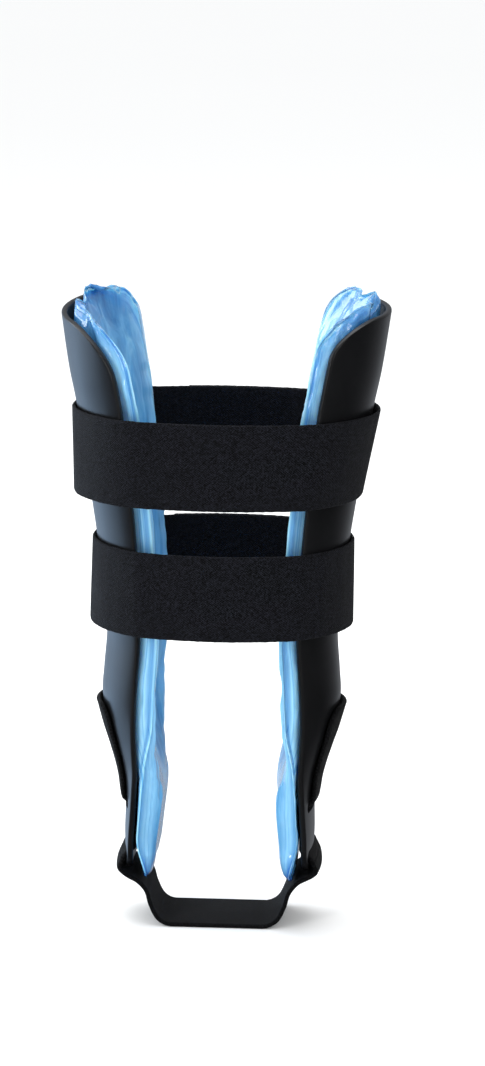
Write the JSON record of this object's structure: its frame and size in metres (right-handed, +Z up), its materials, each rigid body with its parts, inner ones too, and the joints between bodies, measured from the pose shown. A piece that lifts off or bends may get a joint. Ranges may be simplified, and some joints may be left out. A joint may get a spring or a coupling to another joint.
{
  "type": "stirrup ankle brace",
  "caption": "Stirrup ankle brace: moulded side shells lined with gel pads, joined by hook-and-loop straps round the shin and a heel strap threaded under the foot.",
  "frame": {"origin": "on the resting surface under the heel strap, below the middle of the brace", "axes": "+Z up along the shells, -Y to the toes, +X to the inner side of a right ankle"},
  "size_m": [0.138, 0.1056, 0.2725],
  "materials": {
    "shell": "satin moulded black",
    "gel_pad": "glossy translucent vinyl film over gel",
    "strap": "ribbed black hook-and-loop elastic",
    "heel_strap": "matte black webbing"
  },
  "bodies": {
    "root": {"lateral_shell": "shell", "medial_shell": "shell", "lateral_gel_pad": "gel_pad", "medial_gel_pad": "gel_pad", "upper_strap": "strap", "upper_strap_end": "strap", "lower_strap": "strap", "lower_strap_end": "strap", "heel_strap": "heel_strap"}
  },
  "joints": []
}
